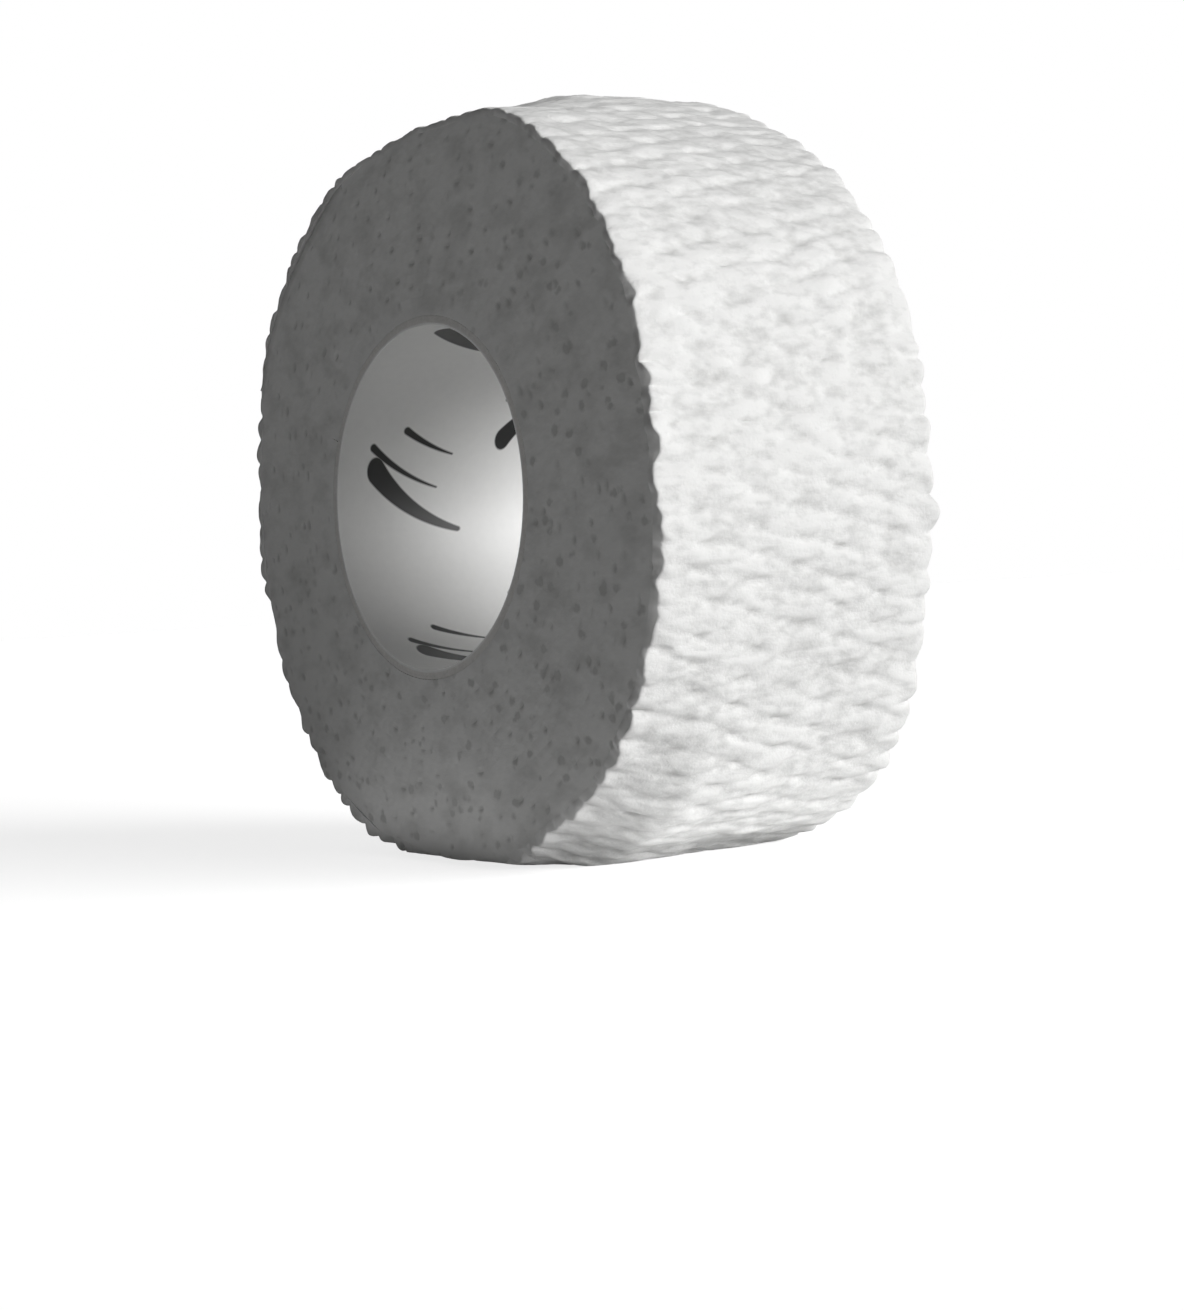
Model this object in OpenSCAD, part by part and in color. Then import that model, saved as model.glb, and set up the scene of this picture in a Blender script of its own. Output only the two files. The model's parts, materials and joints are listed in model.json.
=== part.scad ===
// Roll of crinkled, self-clinging grip tape wound on a paper core.
// The roll stands on its rim. The origin is the middle of the core's bore, Y runs along the bore and Z is up.

/* [Core] */
// Inside diameter of the core, which a finger or a spindle goes through
bore_d = 27.8; // [20:0.1:40]
// Thickness of the white liner that shows inside the core
liner_t = 0.15; // [0.1:0.05:0.5]
// Thickness of each of the two board plies round the liner
ply_t = 0.25; // [0.2:0.05:1]
// Thickness of the glue line between two plies
glue_t = 0.03; // [0.02:0.01:0.1]
// How far each end of the core sits inside the side face of the tape
core_recess = 0.1; // [0.05:0.05:2]

/* [Tape] */
// Width of the tape
tape_w = 25; // [12:0.5:50]
// Thickness of the web between its crinkles
web_t = 0.47; // [0.3:0.01:1]
// Room from turn to turn, which the crinkles of the web fill
turn_gap = 0.58; // [0.5:0.01:1]
// Number of turns on the core, the outer one and the free end included
turns = 16; // [4:1:24]
// Room between the core and the first turn
seat_gap = 0.1; // [0.05:0.05:0.3]

/* [Crinkles of the outer turn] */
// Distance from crinkle to crinkle along the tape
crinkle_pitch = 2.5; // [1.5:0.1:4]
// Height of a crinkle over the web
crinkle_h = 0.65; // [0.3:0.05:1]
// Rows of crinkles across the tape, one between each pair of elastic threads
crinkle_rows = 6; // [4:1:10]
// Depth to which the crinkles are pressed flat where the roll stands
flat_depth = 0.5; // [0.2:0.05:0.55]
// Share of their height that the crinkles keep along the two edges of the tape
rim_share = 0.5; // [0.2:0.1:1]

/* [Foot] */
// How far the outer turn is pushed in where the roll stands, which grows from nothing on the core
foot_sink = 3; // [0.4:0.1:3.4]

/* [Free end] */
// Place of the end of the tape round the roll, in degrees from +X towards +Z
tip_angle = 158; // [120:1:175]
// Length of the free end, from the peel line to the end of the tape
end_l = 19; // [8:0.5:30]
// Half of the slit across the tape at the peel line
peel_gap = 0.3; // [0.2:0.05:0.6]

/* [Hidden] */
$fn = 96;

paper_white = [0.95, 0.95, 0.94];
board_grey = [0.80, 0.79, 0.76];
tape_white = [0.92, 0.92, 0.91];

// Core sizes, from the bore outwards
core_l = tape_w - 2 * core_recess;
inner_ply_d = bore_d + 2 * (liner_t + glue_t);
outer_ply_d = inner_ply_d + 2 * (ply_t + glue_t);
core_d = outer_ply_d + 2 * ply_t;

// The winding is a spiral of half circles. Every other one is centred on the bore's axis, and lies on the
// core or on an arc of the turn before. Those between are centred half a turn's pitch off that axis, on the
// line through the end of the tape, and climb over the end of the turn before.
turn_pitch = web_t + turn_gap;
climb = turn_pitch / 2;
first_r = core_d / 2 + seat_gap;
half_turns = 2 * turns;
inner_half_turns = half_turns - 2;

// Winding angles, in degrees from the start of the tape on the core
tape_a = 180 * half_turns;
outer_a = 180 * inner_half_turns;
outer_r = half_r(half_turns - 1);
deg_per_mm = 180 / (PI * (outer_r + web_t));
peel_a = tape_a - end_l * deg_per_mm;
slit_a = peel_gap * deg_per_mm;

// Each crinkle has four steps along the tape: a sharp valley, a shoulder, a crest and a shoulder.
crinkle_shape = [0, 0.8, 1, 0.8];
crinkle_steps = len(crinkle_shape);
step_a = crinkle_pitch / crinkle_steps * deg_per_mm;
// Crests differ from each other by up to this share of their height
crest_spread = 0.25;

// Height of the surface that the roll stands on, pressed into the crests right under the bore
foot_z = -(foot_r(inner_half_turns) + web_t + crinkle_h - flat_depth);

function half_r(k) = first_r + k * climb;
function half_centre(k) = (k % 2) * climb * [cos(tip_angle), sin(tip_angle)];
function half_turn_at(a) = min(floor(a / 180), half_turns - 1);

// The half circles that pass under the bore are pressed flat there, apart from the one on the core. The foot
// of each is a straight stretch that reaches foot_a to both sides.
function is_pressed(k) = k % 2 == 0 && k > 0;
function foot_r(k) = half_r(k) - foot_sink * k / half_turns;
function foot_a(k) = acos(foot_r(k) / half_r(k));

// Point of the tape's inner face at winding angle a, and the direction in which the tape's face looks there
function tape_frame(a) =
    let (k = half_turn_at(a), phi = tip_angle + a - 360 * floor(k / 2), off_foot = (phi - 270) / foot_a(k))
    is_pressed(k) && abs(off_foot) < 1
        ? [[off_foot * half_r(k) * sin(foot_a(k)), -foot_r(k)], 270]
        : [half_centre(k) + half_r(k) * [cos(phi), sin(phi)], phi];

// Point of the tape at winding angle a, lift above the face that lies towards the core
function tape_point(a, lift) =
    let (frame = tape_frame(a)) frame[0] + lift * [cos(frame[1]), sin(frame[1])];

// Least room between a turn and the next, measured on points along the winding
sample_step = 15;
least_gap = min([for (a = [0 : sample_step : outer_a]) norm(tape_point(a + 360, 0) - tape_point(a, web_t))]);
echo(least_gap_between_turns_mm = least_gap);
echo(outer_diameter_mm = half_r(half_turns - 1) + half_r(half_turns - 2) + 2 * (web_t + crinkle_h));
echo(tape_length_mm = PI * 2 * turns * (first_r + outer_r + web_t) / 2);
echo(foot_z_mm = foot_z);
echo(peel_axis_xz_mm = tape_point(peel_a, web_t));
echo(core_length_mm = core_l);

// Puts a shape drawn round Z onto the bore's axis, with angles running from +X towards +Z
module on_bore_axis() {
    rotate([90, 0, 0]) children();
}

module tube(inner_d, wall) {
    difference() {
        cylinder(d = inner_d + 2 * wall, h = core_l, center = true);
        cylinder(d = inner_d, h = tape_w, center = true);
    }
}

module core_liner() {
    color(paper_white) on_bore_axis() tube(bore_d, liner_t);
}

module core_inner_ply() {
    color(board_grey) on_bore_axis() tube(inner_ply_d, ply_t);
}

module core_outer_ply() {
    color(board_grey) on_bore_axis() tube(outer_ply_d, ply_t);
}

// Turns a shape into the frame of half-turn k, whose own arc starts at angle 0
module in_half_turn(k) {
    translate(half_centre(k)) rotate([0, 0, tip_angle + 180 * k]) children();
}

// Wall of half a turn of the web, as a true arc
module half_wall(k) {
    rotate_extrude(angle = 180) translate([half_r(k), -tape_w / 2]) square([web_t, tape_w]);
}

// Straight band under the bore, in the frame of a half turn that passes there, from one distance to another
module foot_band(near_r, far_r, band_l, band_w) {
    down = [cos(270 - tip_angle), sin(270 - tip_angle)];
    half_along = band_l / 2 * [-down[1], down[0]];
    linear_extrude(height = band_w, center = true)
        polygon([
            near_r * down - half_along, near_r * down + half_along,
            far_r * down + half_along, far_r * down - half_along
        ]);
}

// Wall of half a turn that is pressed flat under the bore: the arc is cut off level with the foot, and a
// straight stretch of web, whose ends lie inside the arc's own wall, closes it
module pressed_wall(k) {
    foot_l = (2 * half_r(k) + web_t / 2) * sin(foot_a(k));
    difference() {
        union() {
            half_wall(k);
            foot_band(foot_r(k), foot_r(k) + 2 * web_t, foot_l, tape_w);
        }
        foot_band(foot_r(k) + web_t, 2 * outer_r, 2 * outer_r, 2 * tape_w);
    }
}

module tape_inner_turns() {
    color(tape_white) on_bore_axis()
        for (k = [0 : inner_half_turns - 1])
            in_half_turn(k) if (is_pressed(k)) pressed_wall(k); else half_wall(k);
}

// Height of the crinkles at step j along the tape on row line i, each crest a little different
function crinkle_at(j, i) =
    let (step = j + (i % 2) * crinkle_steps / 2, crest = floor(step / crinkle_steps))
    crinkle_h * crinkle_shape[step % crinkle_steps] * (1 - crest_spread / 2 * (1 + sin(97 * crest + 53 * i)))
        * (i == 0 || i == crinkle_rows ? rim_share : 1);

// The most that the tape can stand out at winding angle a before it meets the surface under the roll
function room_above_foot(a) =
    let (frame = tape_frame(a), down = sin(frame[1]))
    down < -0.5 ? (foot_z - frame[0][1]) / down : web_t + crinkle_h;

// A length of crinkled tape from winding angle from_a to to_a, one closed skin of triangles.
// Its crinkles run out flat at both ends.
module crinkled_tape(from_a, to_a) {
    steps = max(2, round((to_a - from_a) / step_a));
    loop = crinkle_rows + 3;
    function line_z(i) = tape_w * (i / crinkle_rows - 0.5);
    function lift(j, i) =
        let (a = from_a + (to_a - from_a) * j / steps)
        min(web_t + (j == 0 || j == steps ? 0 : crinkle_at(j, i)), room_above_foot(a));
    function ring(j) =
        let (a = from_a + (to_a - from_a) * j / steps)
        concat(
            [for (z = [-1, 1] * tape_w / 2) [each tape_point(a, 0), z]],
            [for (i = [crinkle_rows : -1 : 0]) [each tape_point(a, lift(j, i)), line_z(i)]]
        );
    points = [for (j = [0 : steps]) each ring(j)];
    sides = [
        for (j = [0 : steps - 1], m = [0 : loop - 1])
            let (p = j * loop + m, q = j * loop + (m + 1) % loop)
                each [[p, q + loop, q], [p, p + loop, q + loop]]
    ];
    last = steps * loop;
    caps = [for (m = [1 : loop - 2]) each [[0, m, m + 1], [last, last + m + 1, last + m]]];
    polyhedron(points = points, faces = concat(sides, caps), convexity = 8);
}

module tape_outer_turn() {
    color(tape_white) on_bore_axis() crinkled_tape(outer_a, peel_a - slit_a);
}

module tape_free_end() {
    color(tape_white) on_bore_axis() crinkled_tape(peel_a + slit_a, tape_a);
}

core_liner();
core_inner_ply();
core_outer_ply();
tape_inner_turns();
tape_outer_turn();
tape_free_end();
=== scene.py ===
# %% [markdown]
# # A roll of crinkled grip tape
#
# The object is a roll of white, self-clinging tape that players wind round a handle. It stands on its rim.
# The construction comes ready made: a lined paper core, a spiral of tape and a free end that peels off.
# This lesson dresses it. The tape gets its crepe, the edges of the turns get their pores, the core gets
# its printed liner, and the roll is set in soft light from the right.

# %% Load the frame
import bisect
import json
import math
import random

import bmesh
import bpy
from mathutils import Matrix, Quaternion, Vector, noise


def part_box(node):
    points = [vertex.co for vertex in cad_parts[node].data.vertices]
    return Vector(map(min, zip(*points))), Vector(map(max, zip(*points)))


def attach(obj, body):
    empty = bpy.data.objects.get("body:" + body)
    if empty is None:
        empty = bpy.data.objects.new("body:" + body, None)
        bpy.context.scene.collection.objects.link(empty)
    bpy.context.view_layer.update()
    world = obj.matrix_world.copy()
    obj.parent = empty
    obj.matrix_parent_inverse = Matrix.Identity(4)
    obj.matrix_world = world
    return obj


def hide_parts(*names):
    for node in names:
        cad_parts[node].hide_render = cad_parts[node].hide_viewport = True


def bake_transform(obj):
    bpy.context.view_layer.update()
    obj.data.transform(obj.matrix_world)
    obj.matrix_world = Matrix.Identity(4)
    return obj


MM = 0.001

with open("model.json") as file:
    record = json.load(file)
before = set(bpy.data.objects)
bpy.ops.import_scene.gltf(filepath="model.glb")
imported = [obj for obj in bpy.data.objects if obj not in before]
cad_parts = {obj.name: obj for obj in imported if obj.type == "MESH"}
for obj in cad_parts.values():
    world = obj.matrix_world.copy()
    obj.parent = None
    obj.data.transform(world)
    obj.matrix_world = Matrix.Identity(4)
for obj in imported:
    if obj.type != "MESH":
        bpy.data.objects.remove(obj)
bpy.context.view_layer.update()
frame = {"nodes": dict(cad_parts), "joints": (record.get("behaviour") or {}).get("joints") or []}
print("nodes:", ", ".join(sorted(frame["nodes"])))

# %% [markdown]
# ## The winding
#
# Every piece of tape lies on one spiral, so the spiral comes first. It is made of half circles: every other
# one is centred on the bore, and those between are centred half a turn's pitch to one side, where the tape
# climbs over its own start. Under the bore the turns are pressed flat, more and more from the core outwards,
# because the soft roll stands there. What the frame holds is read from it, and only the winding's own counts
# are written here. The foot is pressed in a little less than the construction's, so the roll reaches a
# little lower.

# %% Sizes of the winding
TURNS = 16
TURN_PITCH = 1.05 * MM
SEAT_GAP = 0.1 * MM
FOOT_SINK = 2.6 * MM
FOOT_LOWER = 0.4 * MM
TIP_ANGLE = math.radians(158)
DOWN = math.radians(270)
TURN = 2 * math.pi

core_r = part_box("core_outer_ply")[1].x
half_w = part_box("tape_outer_turn")[1].y
foot_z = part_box("tape_outer_turn")[0].z - FOOT_LOWER
peel_at = Vector(frame["joints"][0]["pos_m"])
climb = TURN_PITCH / 2
first_r = core_r + SEAT_GAP
half_turns = 2 * TURNS
outer_r = first_r + (half_turns - 1) * climb
tape_end = TURN * TURNS
print("radius of the winding, mm:", round(first_r / MM, 2), "to", round(outer_r / MM, 2))

# %% [markdown]
# A place on the tape's inner side is found from the angle that has been wound so far, and comes with the
# direction in which the tape faces there. On the flat foot the tape faces straight down, and it swings round
# to the arcs beside it over the ends of the foot, as soft cloth does.

# %% Place on the spiral
FOOT_ROUND = 0.35

# Keeps the start of a half turn from being read as the end of the one before
ROUNDING = 1e-9


def inner_side(wound):
    """Point of the tape's inner side in the X-Z plane, and the direction in which the tape faces."""
    k = int(wound / math.pi + ROUNDING)
    radius = first_r + k * climb
    turned = TIP_ANGLE + wound - TURN * (k // 2)
    if k % 2 == 0 and k > 0:
        foot_r = radius - FOOT_SINK * k / half_turns
        foot_a = math.acos(foot_r / radius)
        off = (turned - DOWN) / foot_a
        if abs(off) < 1:
            swing = max(0.0, abs(off) - 1 + FOOT_ROUND) / FOOT_ROUND
            facing = DOWN + math.copysign(foot_a * swing, off)
            return Vector((off * radius * math.sin(foot_a), 0, -foot_r)), facing
    shift = (k % 2) * climb
    x = shift * math.cos(TIP_ANGLE) + radius * math.cos(turned)
    z = shift * math.sin(TIP_ANGLE) + radius * math.sin(turned)
    return Vector((x, 0, z)), turned


def outer_side(wound, lift, across):
    """A point lifted off the tape's inner side, at a place across the width."""
    point, facing = inner_side(wound)
    return point + Vector((lift * math.cos(facing), across, lift * math.sin(facing)))


print("tape wound on the core, m:", round(math.pi * TURNS * (first_r + outer_r), 2))

# %% [markdown]
# The roll is soft and has been handled, so it is not quite round. The core has been squeezed to an oval, and
# the winding has slipped a little to one side of it. Each other mark is a smooth hill or hollow that spreads
# some way round the roll. The deepest are slumps of the front side, at its top and low on the right. The
# oval fades from the core outwards, and the other marks grow from nothing on the core to their full height
# outside.

# %% Marks of handling
CORE_GROWN = 0.18 * MM
CORE_OVAL = 0.70 * MM
OVAL_AT = math.radians(11.4)
SLIP = Vector((0.59 * MM, 0, -0.40 * MM))

# Middle and reach of each swell in degrees, and its height in mm, which is less than 0 for a hollow
SWELLS = (
    (-40, 26, 0.9),
    (-48, 20, 0.4),
    (-66, 20, -0.5),
    (-113, 26, -1.4),
    (-132, 40, -0.6),
    (176, 40, -0.3),
    (126, 34, -1.2),
    (110, 42, -0.8),
    (82, 26, 0.5),
    (66, 34, -0.3),
    (48, 18, 0.4),
    (30, 20, 0.6),
    (6, 20, -0.3),
)

# Middle and reach of each slump in degrees, its depth, and where it fades, from the front edge, in mm
SLUMPS = (
    (84, 24, 2.6, 2.0, 13.0),
    (102, 16, 1.35, 2.0, 13.0),
    (-52, 36, 2.2, 0.0, 7.0),
)

swells = [(math.radians(middle), math.radians(reach), height * MM) for middle, reach, height in SWELLS]
slumps = [
    (math.radians(middle), math.radians(reach), depth * MM, near * MM, far * MM)
    for middle, reach, depth, near, far in SLUMPS
]
print("marks of handling:", len(swells), "swells and hollows,", len(slumps), "slumps")

# %% The roll as it was handled


def smooth_step(low, high, x):
    """0 below low, 1 above high, and an even slope between them."""
    u = min(1.0, max(0.0, (x - low) / (high - low)))
    return u * u * (3 - 2 * u)


def hill(angle, middle, reach):
    """1 at the middle of a mark, falling smoothly to 0 at its reach to both sides."""
    off = math.remainder(angle - middle, TURN) / reach
    return math.cos(off * math.pi / 2) ** 2 if abs(off) < 1 else 0.0


def handled(point):
    """The point as it lies on the handled roll."""
    radius = math.hypot(point.x, point.z)
    angle = math.atan2(point.z, point.x)
    grown = max(0.0, (radius - core_r) / (outer_r - core_r))
    rise = sum(height * hill(angle, middle, reach) for middle, reach, height in swells)
    for middle, reach, depth, near, far in slumps:
        rise -= depth * hill(angle, middle, reach) * (1 - smooth_step(near, far, half_w + point.y))
    oval = (CORE_GROWN + CORE_OVAL * math.cos(2 * (angle - OVAL_AT))) * max(0.0, 1 - grown)
    scale = 1 + (rise * grown + oval) / radius
    return Vector((point.x * scale, point.y, point.z * scale)) + SLIP * grown


for edge, across in (("front", -half_w), ("back", half_w)):
    top = handled(Vector((0, across, outer_r))).z
    print("top of the last turn at its", edge, "edge, mm:", round(top / MM, 1), "of", round(outer_r / MM, 1))

# %% [markdown]
# ## A closed strip from a flat grid
#
# A stretch of tape is a long tube with a flat section. Its mesh starts as a flat grid: one direction of the
# grid runs along the tape, and the other goes once round the section, so that its last column comes back to
# the first. The columns are welded there and the two ends are filled. A spin would do it too, but it
# repeats its work at each of thousands of steps, and the grid is there at once. Some columns can be kept
# soft: where an edge is sharp in one place and soft in the next, its shading changes in flecks.

# %% Helper that bends a grid into a strip
WELD = 1e-7
GRID_SIZE = 0.5
SHARP = math.radians(60)


def finished(name, bm):
    """Turns a bmesh into a smooth shaded object that stands at the origin."""
    mesh = bpy.data.meshes.new(name)
    bm.to_mesh(mesh)
    bm.free()
    mesh.shade_smooth()
    mesh.set_sharp_from_angle(angle=SHARP)
    piece = bpy.data.objects.new(name, mesh)
    bpy.context.scene.collection.objects.link(piece)
    print(name, "has", len(mesh.vertices), "points and", len(mesh.polygons), "faces")
    return piece


def strip(name, along, around, place, height, soft=()):
    """A closed strip of along by around faces; place(i, j) gives the point of station i and column j.

    What height(i, j) gives is kept on the points for the finish. The soft columns are never shaded sharp."""
    bm = bmesh.new()
    bmesh.ops.create_grid(bm, x_segments=along, y_segments=around, size=GRID_SIZE)
    kept = bm.verts.layers.float.new("height")
    softened = bm.verts.layers.int.new("softened")
    seam = []
    for v in bm.verts:
        i = round((v.co.x + GRID_SIZE) * along)
        j = round((v.co.y + GRID_SIZE) * around)
        v.co = place(i, j % around)
        v[kept] = height(i, j % around)
        v[softened] = j % around in soft
        if j in (0, around):
            seam.append(v)
    bmesh.ops.remove_doubles(bm, verts=seam, dist=WELD)
    bmesh.ops.holes_fill(bm, edges=[e for e in bm.edges if e.is_boundary])
    bmesh.ops.recalc_face_normals(bm, faces=bm.faces)
    piece = finished(name, bm)
    is_soft = piece.data.attributes["softened"].data
    for edge in piece.data.edges:
        if all(is_soft[v].value for v in edge.vertices):
            edge.use_edge_sharp = False
    return piece


# %% [markdown]
# ## The core
#
# The core is a tube of three plies: a white liner that shows in the bore, and two plies of board. On the real
# roll it is thin enough to be squeezed, so each ply is spun as a round ring from its section, and then its
# points go where the handled roll has them.

# %% Plies of the core
RING_STEPS = 160
PLY_WALLS = {"core_liner": 0.15 * MM, "core_inner_ply": 0.25 * MM, "core_outer_ply": 0.25 * MM}
GLUE = {"core_liner": 0.027 * MM, "core_inner_ply": 0.027 * MM, "core_outer_ply": 0.0}
END_SWELL = 0.05 * MM


def ply(name, node):
    """A squeezed ring with the section of a ply of the construction and of the glue round it."""
    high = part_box(node)[1]
    inside = high.x - PLY_WALLS[node]
    outside = high.x + GLUE[node]
    end = high.y + END_SWELL
    bm = bmesh.new()
    corners = [(inside, -end), (outside, -end), (outside, end), (inside, end)]
    points = [bm.verts.new((x, y, 0)) for x, y in corners]
    edges = [bm.edges.new((points[k - 1], points[k])) for k in range(len(points))]
    bmesh.ops.spin(bm, geom=points + edges, cent=(0, 0, 0), axis=(0, 1, 0), dvec=(0, 0, 0),
                   angle=TURN, steps=RING_STEPS, use_merge=True)
    bmesh.ops.remove_doubles(bm, verts=bm.verts, dist=WELD)
    bmesh.ops.recalc_face_normals(bm, faces=bm.faces)
    for v in bm.verts:
        v.co = handled(v.co)
    return finished(name, bm)


liner, inner_ply, outer_ply = [ply(node.replace("core_", "squeezed_"), node) for node in PLY_WALLS]

# %% [markdown]
# ## The turns inside the roll
#
# Of the inner turns only the edges show, on the two sides of the roll. They are cut flush, and the crepe of
# neighbouring turns leaves small pores between them, scattered by chance. Each station of this strip has
# eight points, four on each edge of the tape. The corner points of a turn and of the turn round it sink
# together, so that they make one pore. The first turn fills the room to the core, and the outer turns
# draw in a little, which rounds the rim.

# %% Pores by chance
PORE_SEED = 11
PORE_APART = (2.4 * MM, 9.0 * MM)
PORE_LENGTH = (0.28 * MM, 0.60 * MM)
PORE_DEPTH = 0.15 * MM
PORE_SHARE = (0.25, 1)
PORE_BOWL = 1.5

# A power over 1 makes shallow pores more common than deep ones
PORE_FEW_DEEP = 1.5


def radius_at(wound):
    """Radius of the winding at that angle, with its steps smoothed out."""
    return first_r + wound / math.pi * climb


def scatter_pores(seed):
    """Places of the pores along the winding on one side of the roll: angle, half length and depth."""
    chance = random.Random(seed)
    places = []
    wound = 0.0
    while wound < tape_end:
        wound += chance.uniform(*PORE_APART) / radius_at(wound)
        half_length = chance.uniform(*PORE_LENGTH)
        depth = PORE_DEPTH * chance.uniform(*PORE_SHARE) ** PORE_FEW_DEEP
        places.append((wound, half_length, depth))
    return places


pores = {side: scatter_pores(PORE_SEED + side) for side in (-1, 1)}


def pore_depth(wound, side):
    """Depth of the pore outside the turn at that angle, on one side of the roll."""
    deepest = 0.0
    after = bisect.bisect(pores[side], (wound,))
    for place, half_length, depth in pores[side][max(0, after - 1):after + 1]:
        away = abs(place - wound) * radius_at(wound) / half_length
        deepest = max(deepest, depth * max(0.0, 1 - away * away) ** PORE_BOWL)
    return deepest


print("pores on the front side:", len(pores[-1]))

# %% Edges of the inner turns
EDGE_ROUGH = 0.035 * MM
EDGE_GRAIN = 0.7 * MM
RIM_DRAW = 0.30 * MM
DRAW_POWER = 9

# Keeps the grain of the two sides apart
SIDE_LAYER = 6.0


def edge_in(point, wound, share, side):
    """How far a point of the tape's edge lies inside the side face; share is its height in the turn."""
    grain = (point.x / EDGE_GRAIN, SIDE_LAYER * side, point.z / EDGE_GRAIN)
    rough = EDGE_ROUGH * (1 + noise.noise(grain))
    reach = max(0.0, (math.hypot(point.x, point.z) - core_r) / (outer_r - core_r))
    drawn = RIM_DRAW * min(1.0, reach) ** DRAW_POWER
    deep = 0.0
    if share == 1.0:
        deep = pore_depth(wound, side)
    elif share == 0.0 and wound >= TURN:
        deep = pore_depth(wound - TURN, side)
    return rough + drawn + deep


# %% Strip of the inner turns
STEPS_PER_TURN = 720
EDGE_SHARES = (1.0, 0.6, 0.4, 0.0)
CORE_HUG = 0.02 * MM
LAP = math.radians(45)

edge_points = 2 * len(EDGE_SHARES)
outer_start = tape_end - TURN
inner_end = outer_start - LAP
inner_steps = round(STEPS_PER_TURN * inner_end / TURN)


def edge_column(j):
    """Side of the roll on which point j of the eight lies, and its share of the turn's height."""
    side = -1 if j < len(EDGE_SHARES) else 1
    return side, EDGE_SHARES[min(j, edge_points - 1 - j)]


def inner_turn_height(i, j):
    """Height that the finish of the inner turns reads: 1 on the edges, and less in a pore, which the finish
    greys as painted shade.
    """
    wound = inner_end * i / inner_steps
    side, share = edge_column(j)
    if share == 0.0:
        wound -= TURN
    return 1 - pore_depth(wound, side) / PORE_DEPTH if share in (0.0, 1.0) and wound > 0 else 1.0


def inner_turn_point(i, j):
    """Point j of the eight round the tape's section, at station i of the inner turns."""
    wound = inner_end * i / inner_steps
    side, share = edge_column(j)
    low = inner_side(wound)[0]
    if wound < TURN:
        low = low.normalized() * (core_r + CORE_HUG)
    point = low.lerp(inner_side(wound + TURN)[0], share)
    point.y = side * (half_w - edge_in(point, wound, share, side))
    return handled(point)


inner_turns = strip("inner_turns", inner_steps, edge_points, inner_turn_point, inner_turn_height)

# %% [markdown]
# ## The crepe
#
# Elastic threads run along the tape and pull it short, so the cloth between them buckles into ridges that
# lie across the tape. The ridges of one row end where those of the next begin, half a pitch further on,
# so the cloth is covered with leaves in staggered rows. Two families of leaves make it, and the higher one
# shows. Slow noise lets the leaves wander and differ in height. This is real relief, because the outline of
# the roll shows it; the finest pleats and the lint are left to the material.

# %% Height of the crepe
WEB_T = 0.50 * MM
CREPE_H = 0.60 * MM
LEAF_PITCH = 2.2
ROW_PITCH = 4.1
LEAF_BLUNT = 0.45
FOLD_STEEP = 1.9
SWELL_MEAN = 0.74
VALLEY_TUFTS = 0.3

# Layers of noise: height, length along the tape and across it in mm, and where the layer is cut
LEAF_DRIFT = ((0.60, 4.8, 5.8, 0.3), (0.30, 1.5, 2.2, 5.1))
ROW_DRIFT = ((1.60, 2.4, 4.2, 2.7),)
LEAF_SWELL = ((0.36, 2.6, 3.2, 11.9), (0.30, 3.4, 9.0, 3.3))
LEAF_TUFTS = ((0.17, 0.62, 1.4, 7.7), (0.08, 0.40, 0.8, 1.9))


def layered(layers, s, t):
    """Sum of layers of noise at a place on the tape, s along and t across it in mm."""
    return sum(high * noise.noise((s / along, t / across, cut)) for high, along, across, cut in layers)


def crepe(s, t):
    """Height of the crepe, 0 in a valley and about 1 on a crest, s along and t across the tape in mm."""
    s += layered(LEAF_DRIFT, s, t)
    t += layered(ROW_DRIFT, s, t)
    row = (1 + math.cos(math.pi * t / ROW_PITCH)) / 2
    wave = math.pi * s / LEAF_PITCH
    leaf = max(abs(math.sin(wave)) * row ** LEAF_BLUNT, abs(math.cos(wave)) * (1 - row) ** LEAF_BLUNT)
    fold = 1 - (1 - leaf) ** FOLD_STEEP
    swell = SWELL_MEAN + layered(LEAF_SWELL, s, t)
    tufts = layered(LEAF_TUFTS, s, t) * (VALLEY_TUFTS + (1 - VALLEY_TUFTS) * fold)
    return max(0.0, fold * swell + tufts)


# %% [markdown]
# ## The outer turn
#
# The last turn carries the crepe that one sees. Its strip has many columns over the outer side and two
# corners on the inner side, in one closed section. It starts under the free end, where the end presses it
# flatter, and it is pressed flat on the ground line, because the roll stands on it.

# %% Places on the outer turn
ACROSS = 72
CROWD = 0.35
OUTER_STEP = 0.18 * MM
SEAM_BACK = 3.0 * MM
FREE_RUN = 3.0 * MM

peel_wound = tape_end - TIP_ANGLE + math.atan2(peel_at.z, peel_at.x)
seam_wound = peel_wound - SEAM_BACK / outer_r
outer_steps = round((seam_wound - inner_end) * outer_r / OUTER_STEP)


def outer_wound(i):
    """Winding angle of station i of the outer turn."""
    return inner_end + (seam_wound - inner_end) * i / outer_steps


def column_at(j):
    """Place across the tape of column j; the columns crowd towards both edges."""
    even = 2 * j / ACROSS - 1
    return half_w * ((1 + CROWD) * even - CROWD * even ** 3)


def free_share(wound):
    """0 where the free end covers the outer turn, and 1 from there on."""
    return smooth_step(outer_start, outer_start + FREE_RUN / outer_r, wound)


print("stations along the outer turn:", outer_steps)

# %% [markdown]
# Along both edges of the tape the crepe runs out in round scallops of uneven length, and loose tufts let the
# rims stand out over the side faces. The scallops are low over the top of the roll. The tufts are longest
# round the right of the front rim, and short on the back rim.

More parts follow.
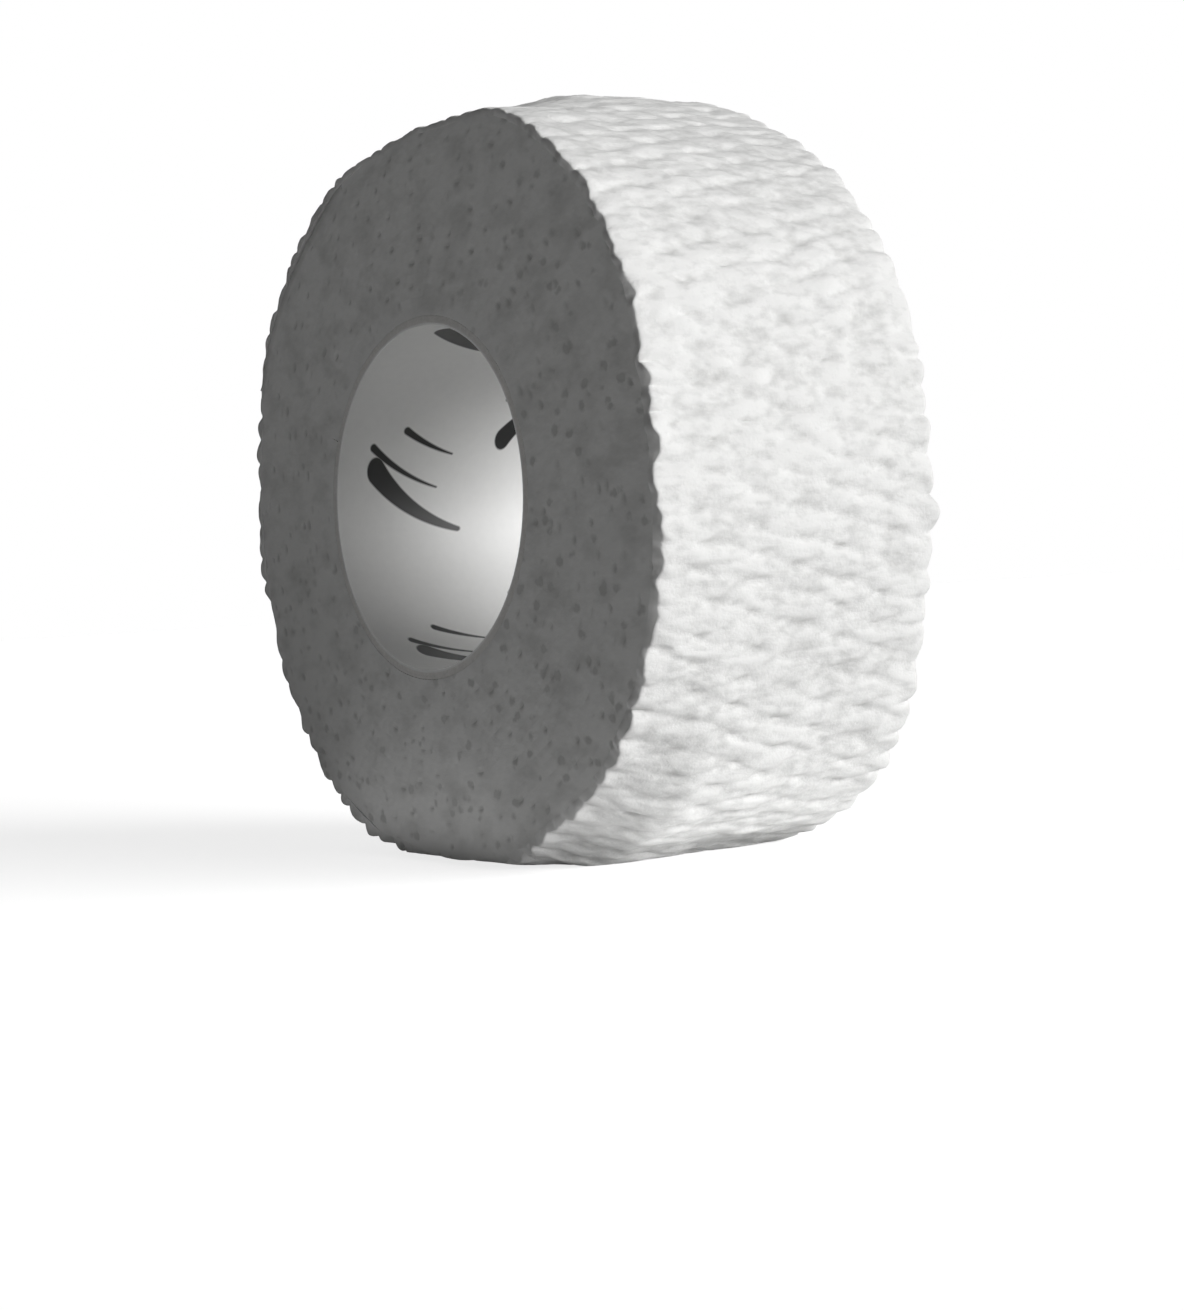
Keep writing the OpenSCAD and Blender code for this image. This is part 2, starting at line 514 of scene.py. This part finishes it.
# %% Scallops and tufts of the rims
SCALLOP_PITCH = 2.5
SCALLOP_WIDTH = 2.6 * MM
SCALLOP_FALL = 1.5
SCALLOP_BLUNT = 0.6
SCALLOP_MEAN = 0.66
CALM_AT = math.radians(82)
CALM_REACH = math.radians(70)
CALM_SCALLOPS = 0.65
RIM_WANDER = 0.45 * MM
RIM_RAGGED = 0.50 * MM
FUZZY_AT = math.radians(-10)
FUZZY_REACH = math.radians(105)
LEAST_FUZZ = 0.2
BACK_FUZZ = 0.3

# Layers of noise along a rim; the two rims lie this far to both sides of 0, so that they differ
RIM_PLACE = 9.0
SCALLOP_DRIFT = ((1.9, 5.5, 1.0, 2.2), (0.4, 1.6, 1.0, 5.8))
SCALLOP_SWELL = ((0.62, 2.9, 1.0, 6.6),)
RIM_DRIFT = ((1.0, 7.0, 1.0, 0.7),)
RIM_TUFTS = ((1.1, 1.5, 1.0, 4.4), (0.55, 0.75, 1.0, 8.1))


def edge_share(across):
    """1 on an edge of the tape, falling to 0 at the width of the scallops."""
    return max(0.0, 1 - (half_w - abs(across)) / SCALLOP_WIDTH) ** SCALLOP_FALL


def calm(wound):
    """1 on the top of the roll, falling to 0 to both sides of it."""
    return hill(wound + TIP_ANGLE, CALM_AT, CALM_REACH)


def scallop(wound, across):
    """Form of a rim along the tape: round bumps of many lengths and heights, with notches between them."""
    s = wound * outer_r / MM
    rim = math.copysign(RIM_PLACE, across)
    s += layered(SCALLOP_DRIFT, s, rim)
    high = (SCALLOP_MEAN + layered(SCALLOP_SWELL, s, rim)) * (1 - CALM_SCALLOPS * calm(wound))
    return abs(math.sin(math.pi * s / SCALLOP_PITCH)) ** SCALLOP_BLUNT * high


def ragged(wound, across):
    """How far a rim stands out at a place along the tape, by a slow wander and by loose tufts."""
    s = wound * outer_r / MM
    rim = math.copysign(RIM_PLACE, across)
    fuzz = LEAST_FUZZ + (1 - LEAST_FUZZ) * hill(wound + TIP_ANGLE, FUZZY_AT, FUZZY_REACH)
    if across > 0:
        fuzz *= BACK_FUZZ
    return RIM_WANDER * layered(RIM_DRIFT, s, rim) + RIM_RAGGED * fuzz * layered(RIM_TUFTS, s, rim)


# %% Outer side of the tape
PRESSED_OUT = 0.75
PRESSED_ROOM = 0.02 * MM
PRESSED_H = TURN_PITCH - WEB_T - PRESSED_ROOM
CALM_CREPE = 0.25
EDGE_TONE = 0.85
SCALLOP_H = 0.88 * MM
SCALLOP_MIDDLE = 0.5
RIM_ROUND = 0.9 * MM
RIM_LEAN = 0.10 * MM
ROUND_WEB = 0.25
ROUND_CREST = 0.1
LEAN_FROM = 0.5
FOOT_EDGE = 0.5 * MM
FOOT_EDGE_WIDTH = 5.0 * MM
TIP_FADE = 7.0 * MM
TIP_THINNED = 0.7


def crepe_height(wound, across):
    """Height of the crepe at a place on the outer turn, pressed nearly flat where the free end covers it."""
    height = crepe(wound * outer_r / MM, across / MM)
    return height + PRESSED_OUT * (1 - height) * (1 - free_share(wound))


def shade_and_coat_height(wound, across):
    """Height that the finish reads, which paints shade into the valleys and is even along the edges."""
    edge = edge_share(across)
    return crepe_height(wound, across) * (1 - edge) + EDGE_TONE * edge


def crepe_point(wound, across, share=1.0):
    """Point of the tape's outer side, with its crepe, its round rims and its flat foot.

    With a share under 1 it lies lower in the tape's thickness."""
    free = free_share(wound)
    edge = free * edge_share(across)
    scalloped = scallop(wound, across)
    from_edge = min(1.0, (half_w - abs(across)) / RIM_ROUND)
    rounded = free * (1 - math.sqrt(1 - (1 - from_edge) ** 2))
    thinned = 1 - TIP_THINNED * smooth_step(tape_end - TIP_FADE / outer_r, tape_end, wound)

    full_h = CREPE_H * (1 - CALM_CREPE * calm(wound))
    crepe_h = PRESSED_H + (full_h - PRESSED_H) * free
    crest = crepe_h * crepe_height(wound, across) * (1 - edge) + SCALLOP_H * scalloped * edge
    lift = WEB_T * (1 - ROUND_WEB * rounded) + crest * (1 - ROUND_CREST * rounded)

    stands_out = RIM_LEAN * (scalloped - SCALLOP_MIDDLE) + ragged(wound, across)
    lean = free * (1 - from_edge) * stands_out - RIM_DRAW
    lean *= min(1.0, abs(across) / (LEAN_FROM * half_w))
    place = across + lean * math.copysign(1.0, across)
    point = handled(outer_side(wound, lift * thinned * share, place))
    lifted = FOOT_EDGE * max(0.0, 1 - (half_w - abs(across)) / FOOT_EDGE_WIDTH) ** 2
    point.z = max(point.z, foot_z + lifted)
    return point


# %% Strip of the outer turn
WEB_LEAN = 0.6


def outer_turn_point(i, j):
    """Point j round the section at station i: the outer side from front to back, then the inner corners."""
    wound = outer_wound(i)
    if j > ACROSS:
        side = 1 if j == ACROSS + 1 else -1
        point = outer_side(wound, 0, 0)
        lean = WEB_LEAN * free_share(wound) * max(0.0, ragged(wound, side))
        point.y = side * (half_w - edge_in(point, wound, 0.0, side) + lean)
        return handled(point)
    return crepe_point(wound, column_at(j))


def outer_turn_height(i, j):
    """Height that the finish of the outer turn reads, which is that of a crest on the hidden inner side."""
    return shade_and_coat_height(outer_wound(i), column_at(j)) if j <= ACROSS else 1.0


rims = (0, ACROSS)
outer_turn = strip("outer_turn", outer_steps, ACROSS + 3, outer_turn_point, outer_turn_height, rims)

# %% [markdown]
# ## The free end
#
# The end of the tape lifts off the roll, so both of its sides can be seen. It is a strip of the same crepe,
# and its inner side has the same ridges, only lower, because it was pressed on the turn below.

# %% Strip of the free end
INNER_SHARE = 0.12

# Keeps the last station on the last half turn
SHORT_OF_END = 1e-6

end_steps = round((tape_end - seam_wound) * outer_r / OUTER_STEP)


def end_place(i, j):
    """Winding angle, place across and share of the thickness of point j at station i of the free end."""
    wound = seam_wound + (tape_end - seam_wound - SHORT_OF_END) * i / end_steps
    if j > ACROSS:
        return wound, column_at(2 * ACROSS + 1 - j), INNER_SHARE
    return wound, column_at(j), 1.0


def free_end_point(i, j):
    """Point j round the section at station i of the free end."""
    return crepe_point(*end_place(i, j))


def free_end_height(i, j):
    """Height that the finish of the free end reads."""
    wound, across, _ = end_place(i, j)
    return shade_and_coat_height(wound, across)


free_end = strip("free_end_sheet", end_steps, 2 * ACROSS + 2, free_end_point, free_end_height, rims)

# %% [markdown]
# ## Materials
#
# Each finish is a small tree of nodes on the object's own coordinates, in metres, so a scale of 1000 gives
# a pattern of about one millimetre. A few helpers keep the trees short.

# %% Helpers for node trees
TONE_FROM = 0.3
TONE_TO = 0.7


def finish_tree(name, **sockets):
    """A new material with a Principled shader whose constant sockets are set, and its tree."""
    material = bpy.data.materials.new(name)
    material.use_nodes = True
    shader = material.node_tree.nodes["Principled BSDF"]
    for socket, value in sockets.items():
        shader.inputs[socket.replace("_", " ")].default_value = value
    return material, material.node_tree, shader


def add(tree, kind, inputs=None, **settings):
    """A node of that kind, with its settings and the values or links of its inputs."""
    node = tree.nodes.new(kind)
    for key, value in settings.items():
        setattr(node, key, value)
    for key, value in (inputs or {}).items():
        if isinstance(value, bpy.types.NodeSocket):
            tree.links.new(value, node.inputs[key])
        else:
            node.inputs[key].default_value = value
    return node


def math_node(tree, operation, first, second=0.0, third=0.0, clamp=False):
    """Output of a Math node."""
    inputs = {0: first, 1: second, 2: third}
    return add(tree, "ShaderNodeMath", inputs, operation=operation, use_clamp=clamp).outputs["Value"]


def object_noise(tree, scale, detail, stretch=(1, 1, 1)):
    """Noise on the object's coordinates, stretched along the axes."""
    place = add(tree, "ShaderNodeTexCoord")
    mapping = add(tree, "ShaderNodeMapping", {"Vector": place.outputs["Object"], "Scale": stretch})
    return add(tree, "ShaderNodeTexNoise",
               {"Vector": mapping.outputs["Vector"], "Scale": scale, "Detail": detail})


def tone(tree, factor, dark, light):
    """A colour between two greys."""
    ramp = add(tree, "ShaderNodeValToRGB", {"Fac": factor})
    ramp.color_ramp.elements[0].position = TONE_FROM
    ramp.color_ramp.elements[1].position = TONE_TO
    ramp.color_ramp.elements[0].color = (*dark, 1)
    ramp.color_ramp.elements[1].color = (*light, 1)
    return ramp.outputs["Color"]


def bump(tree, height, depth, strength, below=None):
    """A bump of that depth in metres, over another one."""
    inputs = {"Height": height, "Distance": depth, "Strength": strength}
    if below is not None:
        inputs["Normal"] = below
    return add(tree, "ShaderNodeBump", inputs).outputs["Normal"]


# %% [markdown]
# The tape is matt white gauze with a little sheen from its loose fibre. Its tone follows the height that was
# kept on the points, so the valleys are greyer than the crests: this is painted shade of the folds, and
# partly a greyer coating in them. Noise mottles the tone at random. A picture of the cloth could do this too,
# but it would have seams, and noise has none.

# %% White crepe
GAUZE = {"Roughness": 0.95, "Sheen_Weight": 0.2, "Sheen_Roughness": 0.6, "Specular_IOR_Level": 0.1}
# How much the kept height greys the valleys: painted shade of the folds, partly a greyer coating
SHADE_AND_COAT_SHARE = 0.45
CREPE_TONE_DOWN = 0.14


def crepe_finish():
    """Matt white gauze: mottled, greyer in the valleys by painted shade, with fine pleats across the tape and
    loose fibre.
    """
    material, tree, shader = finish_tree("white_crepe", **GAUZE)
    kept = add(tree, "ShaderNodeAttribute", attribute_name="height").outputs["Fac"]
    mottle = object_noise(tree, scale=1500, detail=6, stretch=(1, 0.55, 1)).outputs["Fac"]
    # Painted shade: a low kept height greys the valleys, partly also for a greyer coating there
    level = math_node(tree, "MULTIPLY_ADD", kept, SHADE_AND_COAT_SHARE, mottle)
    level = math_node(tree, "SUBTRACT", level, CREPE_TONE_DOWN)
    colour = tone(tree, level, dark=(0.64, 0.64, 0.63), light=(0.87, 0.87, 0.86))
    tree.links.new(colour, shader.inputs["Base Color"])
    pleats = object_noise(tree, scale=1500, detail=4, stretch=(1, 0.4, 1)).outputs["Fac"]
    lint = object_noise(tree, scale=4200, detail=4).outputs["Fac"]
    normal = bump(tree, pleats, depth=0.15 * MM, strength=0.6)
    normal = bump(tree, lint, depth=0.07 * MM, strength=0.5, below=normal)
    tree.links.new(normal, shader.inputs["Normal"])
    return material


white_crepe = crepe_finish()
print(white_crepe.name, "has", len(white_crepe.node_tree.nodes), "nodes")

# %% [markdown]
# The side faces show the same gauze end on. They are softer and full of small dark pores of uneven form,
# whose darkness is painted shade, stronger low on the right than high on the left. The larger pores are in
# the mesh, and the finish paints shade into them as well. The small ones would take too many faces, so
# their painted shade lies on the cells of a Voronoi pattern, shifted by noise.

# %% Cut edges
# Sizes of the painted shade of the small pores
DOT_WANDER = 0.8 * MM
DOT_NARROW = 0.75
DOT_SCALE = 640
DOT_REACH = 0.33
DOT_SHARES = (0.15, 1.3)
DOT_SLOPE = (-30 * MM, 20 * MM)
DOT_DARKER = -0.58
EDGE_TONE_SHARE = 0.6
EDGE_TONE_DOWN = 0.45


def painted_pore_shade(tree):
    """Painted shade of small pores of uneven form, 0 off a pore and more in it, the most in those low on the
    right.
    """
    place = add(tree, "ShaderNodeTexCoord").outputs["Object"]
    wander = object_noise(tree, scale=1100, detail=3)
    shift = add(tree, "ShaderNodeVectorMath",
                {0: wander.outputs["Color"], 1: (DOT_WANDER, DOT_WANDER, DOT_WANDER), 2: place},
                operation="MULTIPLY_ADD")
    wide = add(tree, "ShaderNodeMapping", {"Vector": shift.outputs["Vector"], "Scale": (DOT_NARROW, 1, 1)})
    cells = add(tree, "ShaderNodeTexVoronoi", {"Vector": wide.outputs["Vector"], "Scale": DOT_SCALE})
    dots = add(tree, "ShaderNodeMapRange",
               {"Value": cells.outputs["Distance"], "From Max": DOT_REACH, "To Min": 1.0, "To Max": 0.0},
               interpolation_type="SMOOTHSTEP")
    split = add(tree, "ShaderNodeSeparateXYZ", {0: place})
    low_right = math_node(tree, "SUBTRACT", split.outputs["X"], split.outputs["Z"])
    share = add(tree, "ShaderNodeMapRange",
                {"Value": low_right, "From Min": DOT_SLOPE[0], "From Max": DOT_SLOPE[1],
                 "To Min": DOT_SHARES[0], "To Max": DOT_SHARES[1]})
    return math_node(tree, "MULTIPLY", dots.outputs["Result"], share.outputs["Result"])


def edge_finish():
    """The cut edges of the turns: the same gauze end on, soft, softly mottled and full of small pores in
    painted shade.
    """
    material, tree, shader = finish_tree("cut_edges", **GAUZE)
    kept = add(tree, "ShaderNodeAttribute", attribute_name="height").outputs["Fac"]
    mottle = object_noise(tree, scale=500, detail=4, stretch=(0.6, 1, 1)).outputs["Fac"]
    # Painted shade: the kept height is lower in the pores of the mesh, so they turn greyer
    level = math_node(tree, "MULTIPLY_ADD", kept, EDGE_TONE_SHARE, mottle)
    level = math_node(tree, "SUBTRACT", level, EDGE_TONE_DOWN)
    # Painted shade of the small pores, stronger low on the right
    level = math_node(tree, "MULTIPLY_ADD", painted_pore_shade(tree), DOT_DARKER, level)
    colour = tone(tree, level, dark=(0.62, 0.62, 0.61), light=(0.86, 0.86, 0.85))
    tree.links.new(colour, shader.inputs["Base Color"])
    lint = object_noise(tree, scale=2600, detail=4, stretch=(0.7, 1, 1)).outputs["Fac"]
    normal = bump(tree, lint, depth=0.10 * MM, strength=0.25)
    tree.links.new(normal, shader.inputs["Normal"])
    return material


cut_edges = edge_finish()
print(cut_edges.name, "has", len(cut_edges.node_tree.nodes), "nodes")

# %% Finishes on the tape
SIDEWAYS = 0.45
OUTWARD = 0.6


def is_cut_edge(face):
    """True for a face of a cut edge, which looks sideways and not out over the rim."""
    outward = Vector((face.center.x, 0, face.center.z)).normalized()
    return abs(face.normal.y) > SIDEWAYS and face.normal.dot(outward) < OUTWARD


inner_turns.data.materials.append(cut_edges)
for piece in (outer_turn, free_end):
    piece.data.materials.append(white_crepe)
    piece.data.materials.append(cut_edges)
    for face in piece.data.polygons:
        face.material_index = 1 if is_cut_edge(face) else 0
    print(piece.name, "has", sum(face.material_index for face in piece.data.polygons), "faces of cut edge")

# %% [markdown]
# The liner inside the core carries a black print. It is drawn by nodes: the place on the liner is unrolled
# into millimetres round the bore and across it, and each brush stroke is the set of places that lie close
# enough to a bent line. This keeps the ink sharp at any size of the picture. The pattern repeats five times
# round the bore, in two staggered rows.

# %% Helper for the print
REPEATS = 5
INK_EDGE = 0.16
THIN_END = 0.24
bore_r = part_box("core_liner")[1].x
cell = TURN * bore_r / REPEATS / MM


def stroke(tree, turned, y, phase, row, slant, half_length, half_width, bend):
    """Ink of one brush stroke, 1 on the stroke and 0 off it; it starts broad and runs out thin."""
    place = math_node(tree, "FRACT", math_node(tree, "ADD", turned, phase))
    u = math_node(tree, "MULTIPLY_ADD", place, cell, -cell / 2)
    v = math_node(tree, "SUBTRACT", y, row)
    across_u = math_node(tree, "MULTIPLY", u, -math.sin(slant))
    p = math_node(tree, "MULTIPLY_ADD", u, math.cos(slant), math_node(tree, "MULTIPLY", v, math.sin(slant)))
    q = math_node(tree, "MULTIPLY_ADD", v, math.cos(slant), across_u)
    q = math_node(tree, "MULTIPLY_ADD", math_node(tree, "MULTIPLY", p, p), -bend, q)
    near = math_node(tree, "MINIMUM", math_node(tree, "MAXIMUM", p, -half_length), half_length)
    off = math_node(tree, "SUBTRACT", p, near)
    square = math_node(tree, "MULTIPLY_ADD", q, q, math_node(tree, "MULTIPLY", off, off))
    middle_width = (1 + THIN_END) / 2 * half_width
    taper = (middle_width - half_width) / half_length
    width = math_node(tree, "MULTIPLY_ADD", near, taper, middle_width)
    inside = math_node(tree, "SUBTRACT", width, math_node(tree, "SQRT", square))
    return math_node(tree, "MULTIPLY_ADD", inside, 1 / INK_EDGE, 0.5, clamp=True)


print("one repeat of the print, mm:", round(cell, 1))

# %% Printed liner
# Phase in the repeat, row across the liner in mm, slant, half length and half width in mm, and bend
STROKES = (
    (0.00, -5.4, math.radians(58), 4.6, 1.00, 0.035),
    (0.17, -6.4, math.radians(62), 3.6, 0.34, 0.030),
    (0.30, -4.2, math.radians(66), 2.6, 0.34, 0.030),
    (0.50, 6.0, math.radians(128), 4.2, 0.90, -0.035),
    (0.67, 5.2, math.radians(122), 3.4, 0.34, -0.030),
    (0.82, 7.0, math.radians(118), 2.2, 0.34, -0.030),
)
PAPER_WHITE = (0.87, 0.87, 0.86, 1)
INK_BLACK = (0.012, 0.012, 0.012, 1)
FIBRE_SHADE = 0.06


def liner_finish():
    """Coated white paper with a soft gloss and a black print of brush strokes."""
    material, tree, shader = finish_tree("coated_liner", Roughness=0.5, Coat_Weight=0.15, Coat_Roughness=0.4)
    place = add(tree, "ShaderNodeTexCoord")
    split = add(tree, "ShaderNodeSeparateXYZ", {0: place.outputs["Object"]})
    angle = math_node(tree, "ARCTAN2", split.outputs["Z"], split.outputs["X"])
    turned = math_node(tree, "MULTIPLY", angle, REPEATS / TURN)
    y = math_node(tree, "MULTIPLY", split.outputs["Y"], 1 / MM)
    ink = stroke(tree, turned, y, *STROKES[0])
    for form in STROKES[1:]:
        ink = math_node(tree, "MAXIMUM", ink, stroke(tree, turned, y, *form))
    fibre = object_noise(tree, scale=1500, detail=4).outputs["Fac"]
    shade = math_node(tree, "MULTIPLY_ADD", fibre, FIBRE_SHADE, ink)
    print_tone = add(tree, "ShaderNodeValToRGB", {"Fac": shade})
    print_tone.color_ramp.elements[0].color = PAPER_WHITE
    print_tone.color_ramp.elements[1].color = INK_BLACK
    tree.links.new(print_tone.outputs["Color"], shader.inputs["Base Color"])
    normal = bump(tree, fibre, depth=0.02 * MM, strength=0.3)
    tree.links.new(normal, shader.inputs["Normal"])
    return material


liner.data.materials.append(liner_finish())
print("strokes in a repeat:", len(STROKES))

# %% [markdown]
# Of the board only the thin ends of the two plies can be seen, so a grey with a little fibre is enough.

# %% Board of the core


def board_finish():
    """Grey board, with its fibres lying round the core."""
    material, tree, shader = finish_tree("grey_board", Roughness=0.9, Specular_IOR_Level=0.2)
    fibre = object_noise(tree, scale=3000, detail=5, stretch=(1, 0.5, 1)).outputs["Fac"]
    colour = tone(tree, fibre, dark=(0.74, 0.73, 0.71), light=(0.82, 0.81, 0.79))
    tree.links.new(colour, shader.inputs["Base Color"])
    normal = bump(tree, fibre, depth=0.1 * MM, strength=0.5)
    tree.links.new(normal, shader.inputs["Normal"])
    return material


grey_board = board_finish()
inner_ply.data.materials.append(grey_board)
outer_ply.data.materials.append(grey_board)
print("materials:", ", ".join(sorted(material.name for material in bpy.data.materials)))

# %% [markdown]
# ## Joining the pieces to the bodies
#
# The inner turns and the outer turn stay with the roll. The free end is joined to no body, and its place is
# baked into the points of its mesh.

for piece in (liner, inner_ply, outer_ply, inner_turns, outer_turn):
    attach(piece, "roll")
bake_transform(free_end)
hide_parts("core_liner")
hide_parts("core_inner_ply")
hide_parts("core_outer_ply")
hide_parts("tape_inner_turns")
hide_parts("tape_outer_turn")
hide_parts("tape_free_end")

# %% [markdown]

# %% [markdown]
# ## Floor, light and camera
#
# The picture is a high key one: a white ground, a soft light from the right that rakes over the crepe, and a
# side face that lies in shade. The ground glows for the camera alone, and the world is white only where it is
# seen or mirrored, so that they add little light to the roll. The ground keeps the roll's shadow.

# %% Pale floor
FLOOR_HALF = 3.0
FLOOR_GREY = (0.75, 0.75, 0.75, 1)
FLOOR_GLOW = 0.78
WHITE = (1, 1, 1, 1)

bm = bmesh.new()
bmesh.ops.create_grid(bm, x_segments=1, y_segments=1, size=FLOOR_HALF)
bmesh.ops.translate(bm, verts=bm.verts, vec=(0, 0, foot_z))
floor = finished("floor", bm)

pale, tree, shader = finish_tree("pale_floor", Roughness=1.0, Specular_IOR_Level=0.0)
shader.inputs["Base Color"].default_value = FLOOR_GREY
shader.inputs["Emission Color"].default_value = WHITE
rays = add(tree, "ShaderNodeLightPath")
glow = math_node(tree, "MULTIPLY", rays.outputs["Is Camera Ray"], FLOOR_GLOW)
tree.links.new(glow, shader.inputs["Emission Strength"])
floor.data.materials.append(pale)

# %% White world
SHADE_LEVEL = 0.068

world = bpy.data.worlds.new("studio")
bpy.context.scene.world = world
world.use_nodes = True
tree = world.node_tree
backdrop = tree.nodes["Background"]
backdrop.inputs["Color"].default_value = WHITE
rays = add(tree, "ShaderNodeLightPath")
seen = math_node(tree, "MAXIMUM", rays.outputs["Is Camera Ray"], rays.outputs["Is Glossy Ray"])
seen = math_node(tree, "MAXIMUM", seen, rays.outputs["Is Transmission Ray"])
level = add(tree, "ShaderNodeMapRange", {"Value": seen, "To Min": SHADE_LEVEL, "To Max": 1.0})
tree.links.new(level.outputs["Result"], backdrop.inputs["Strength"])
print("light of the world on the roll:", SHADE_LEVEL)

# %% Light from the right
VIEW_AZIMUTH = math.radians(56.82)
KEY_AZIMUTH = VIEW_AZIMUTH + math.radians(60)
KEY_HEIGHT = math.radians(12)
KEY_POWER = 3.55
KEY_SPREAD = math.radians(42)


def towards(azimuth, elevation):
    """Unit vector from the roll to a place at that azimuth and elevation."""
    flat = math.cos(elevation)
    return Vector((flat * math.sin(azimuth), -flat * math.cos(azimuth), math.sin(elevation)))


key_data = bpy.data.lights.new("key", "SUN")
key_data.energy = KEY_POWER
key_data.angle = KEY_SPREAD
key = bpy.data.objects.new("key", key_data)
key.rotation_mode = "QUATERNION"
key.rotation_quaternion = towards(KEY_AZIMUTH, KEY_HEIGHT).to_track_quat("Z", "Y")
bpy.context.scene.collection.objects.link(key)
print("key light stands at azimuth", round(math.degrees(KEY_AZIMUTH), 1), "degrees")

# %% [markdown]
# Two small cards lie on the floor, one before the side face and one beside the lit foot. They stand for what
# a pale surface close to the foot throws back at it, and the camera does not see them.

# %% Low cards at the foot
CARD_LIFT = 0.5 * MM
card_z = foot_z + CARD_LIFT

# Name, place, size and power in watts
CARDS = (
    ("front_card", Vector((-3 * MM, -half_w - 5.5 * MM, card_z)), (28 * MM, 5 * MM), 0.00030),
    ("right_card", Vector((25 * MM, 0, card_z)), (14 * MM, 34 * MM), 0.00042),
)

for name, place, size, power in CARDS:
    card_data = bpy.data.lights.new(name, "AREA")
    card_data.shape = "RECTANGLE"
    card_data.size, card_data.size_y = size
    card_data.energy = power
    card = bpy.data.objects.new(name, card_data)
    card.location = place
    card.rotation_mode = "QUATERNION"
    card.rotation_quaternion = Quaternion((1, 0, 0), math.pi)
    card.visible_camera = False
    bpy.context.scene.collection.objects.link(card)
    print(name, "shines up with", power, "W")

# %% [markdown]
# The camera stands to the right of the side face and a little above the bore, and it is tilted a little about
# its own axis. Its place was fitted to the ovals that the rim and the bore make in the picture. The focal
# length is counted in pixels of that picture, and the lens follows from it and from the picture's height.

# %% Camera at the photograph's angle
CAMERA_BACK = 194.35 * MM
CAMERA_RIGHT = 2.41 * MM
CAMERA_UP = -12.59 * MM
CAMERA_PITCH = math.radians(1.52)
CAMERA_ROLL = math.radians(-3.30)
CLIP_START = 0.01
SENSOR = 36.0
PICTURE_H = 1310
FOCAL_PX = 2400

camera_data = bpy.data.cameras.new("camera")
camera_data.sensor_width = SENSOR
camera_data.lens = SENSOR * FOCAL_PX / PICTURE_H
camera_data.clip_start = CLIP_START
camera = bpy.data.objects.new("camera", camera_data)
back = towards(VIEW_AZIMUTH, CAMERA_PITCH)
roll = Quaternion(back, CAMERA_ROLL)
right = roll @ Vector((math.cos(VIEW_AZIMUTH), math.sin(VIEW_AZIMUTH), 0))
camera.location = back * CAMERA_BACK + right * CAMERA_RIGHT + back.cross(right) * CAMERA_UP + SLIP
camera.rotation_mode = "QUATERNION"
camera.rotation_quaternion = roll @ back.to_track_quat("Z", "Y")
bpy.context.scene.collection.objects.link(camera)
bpy.context.scene.camera = camera
bpy.context.scene.view_settings.view_transform = "Standard"
print("lens, mm:", round(camera_data.lens, 1))
